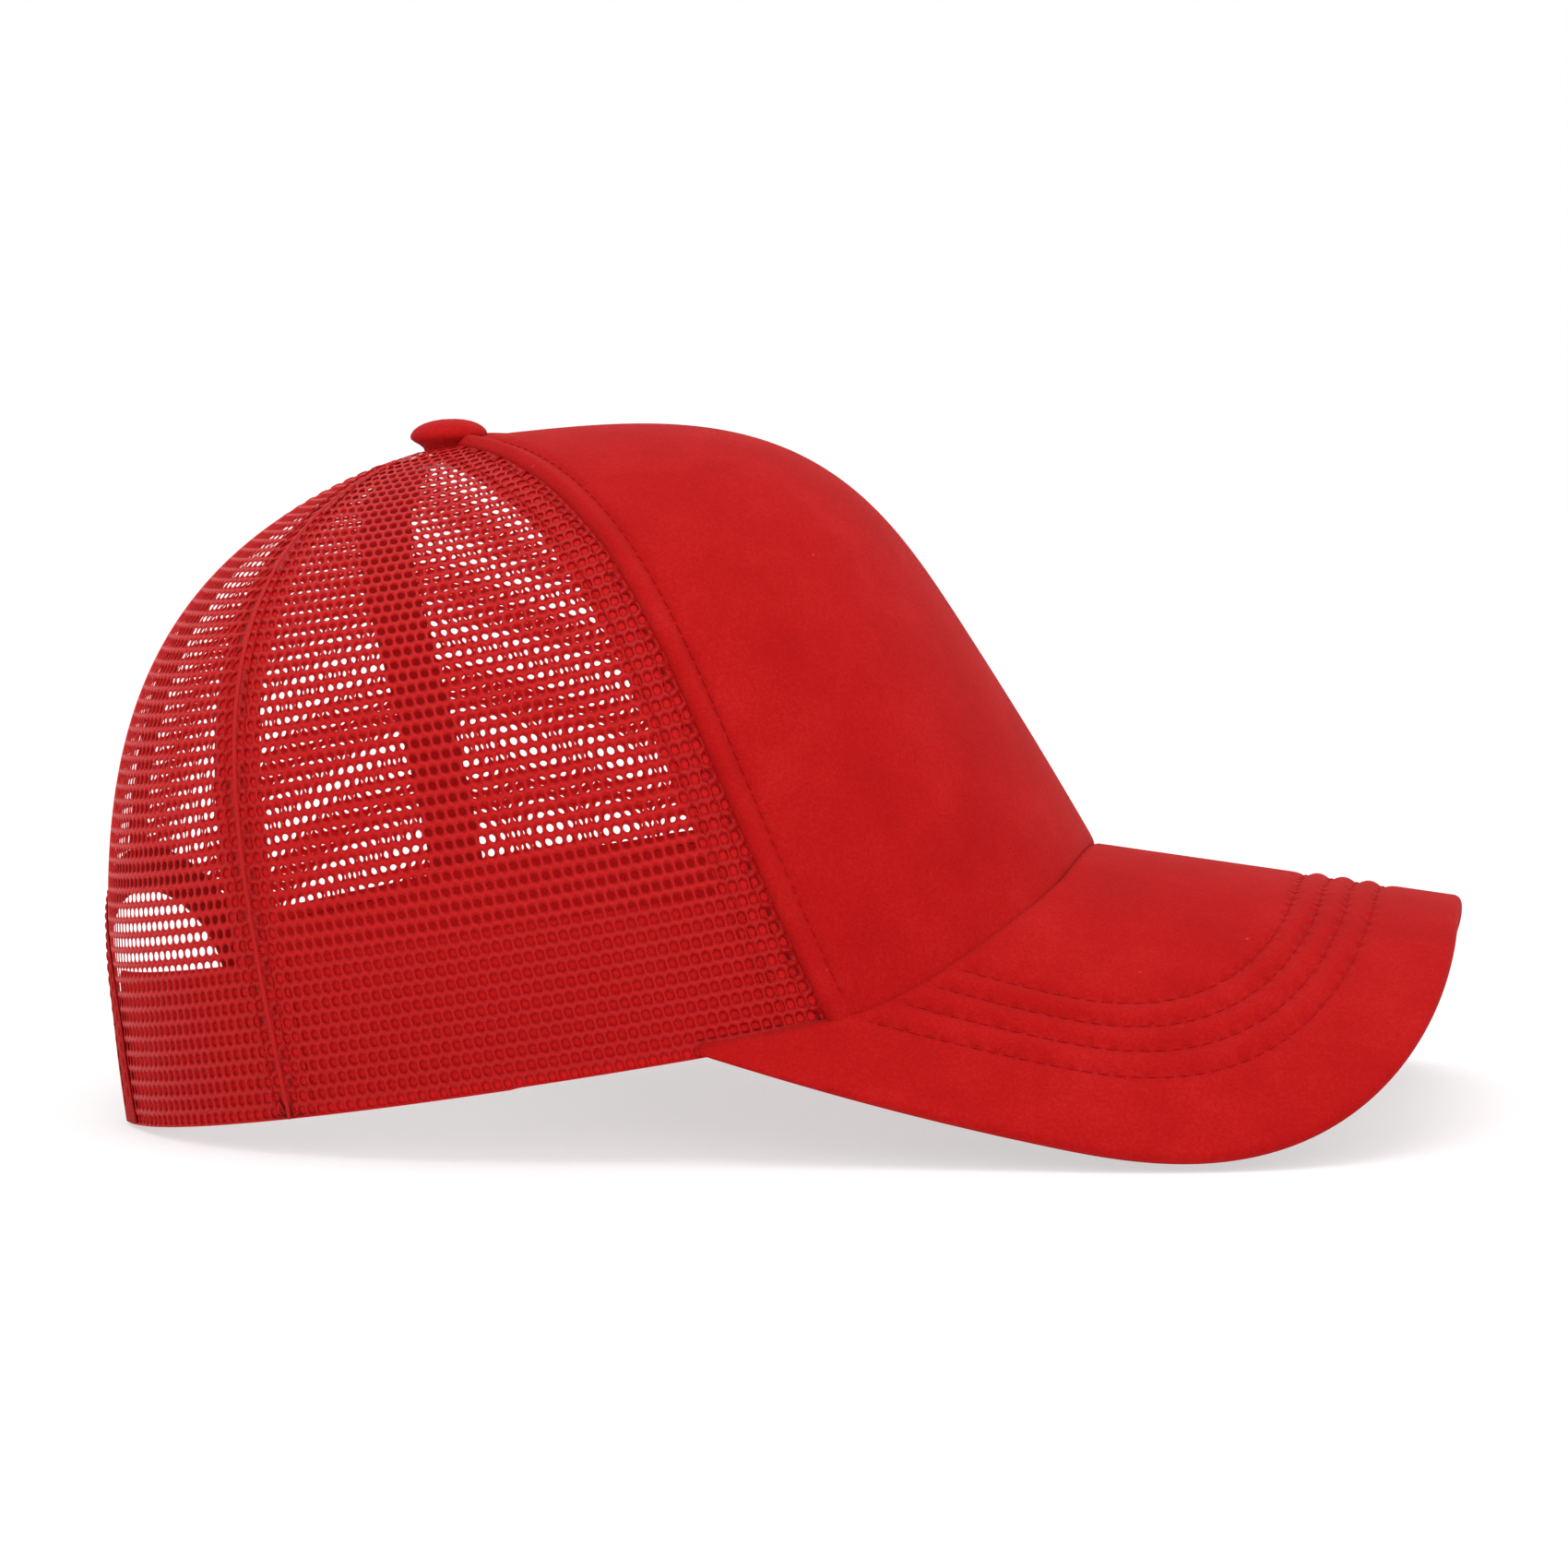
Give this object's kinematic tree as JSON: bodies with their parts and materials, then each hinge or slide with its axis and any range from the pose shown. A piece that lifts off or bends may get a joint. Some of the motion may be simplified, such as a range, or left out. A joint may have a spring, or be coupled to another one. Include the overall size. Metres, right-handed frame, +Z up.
{
  "type": "trucker cap",
  "caption": "Trucker cap with a foam-backed front, mesh sides and back, a curved stitched brim and a plastic snap closure.",
  "frame": {"origin": "under the middle of the whole cap's box, on the surface that it rests on", "axes": "+X forward over the brim, +Y towards the wearer's left, +Z up, with the cap standing on its brim's sides and its rear edge"},
  "size_m": [0.278, 0.1832, 0.1426],
  "materials": {
    "face_cloth": "matte, smooth brushed knit",
    "foam": "matte, soft open-cell foam",
    "mesh": "slightly glossy polyester netting with rounded holes",
    "tape": "matte woven tape",
    "sweatband_cloth": "matte twill",
    "brim_cloth": "matte brushed cotton with four rows of stitching",
    "board_plastic": "matte",
    "button_cloth": "matte brushed cotton",
    "button_metal": "plain",
    "strap_plastic": "satin, moulded"
  },
  "bodies": {
    "cap": {"front_panel_face": "face_cloth", "front_panel_foam": "foam", "side_mesh_right": "mesh", "side_mesh_left": "mesh", "back_mesh_right": "mesh", "back_mesh_left": "mesh", "front_seam_tape_right": "tape", "front_seam_tape_left": "tape", "side_seam_tape_right": "tape", "side_seam_tape_left": "tape", "back_seam_tape": "tape", "arch_binding": "tape", "sweatband": "sweatband_cloth", "brim_top_cover": "brim_cloth", "brim_under_cover": "brim_cloth", "brim_board": "board_plastic", "button_cap": "button_cloth", "button_core": "button_metal", "button_washer": "button_metal", "hole_strap_tab": "strap_plastic", "peg_strap_tab": "strap_plastic"},
    "hole_strap": {"hole_strap": "strap_plastic"},
    "peg_strap": {"peg_strap": "strap_plastic"}
  },
  "joints": [
    {"name": "hole_strap_flex", "type": "hinge", "parent": "cap", "child": "hole_strap", "pos_m": [-0.12469, 0.03616, 0.01139], "axis": [0.1585, 0, -0.9874], "range_deg": [0, 55], "stiffness_Nm_per_rad": 0.01},
    {"name": "peg_strap_flex", "type": "hinge", "parent": "cap", "child": "peg_strap", "pos_m": [-0.12321, -0.03559, 0.01163], "axis": [0.1585, 0, -0.9874], "range_deg": [0, 35], "stiffness_Nm_per_rad": 0.01}
  ]
}
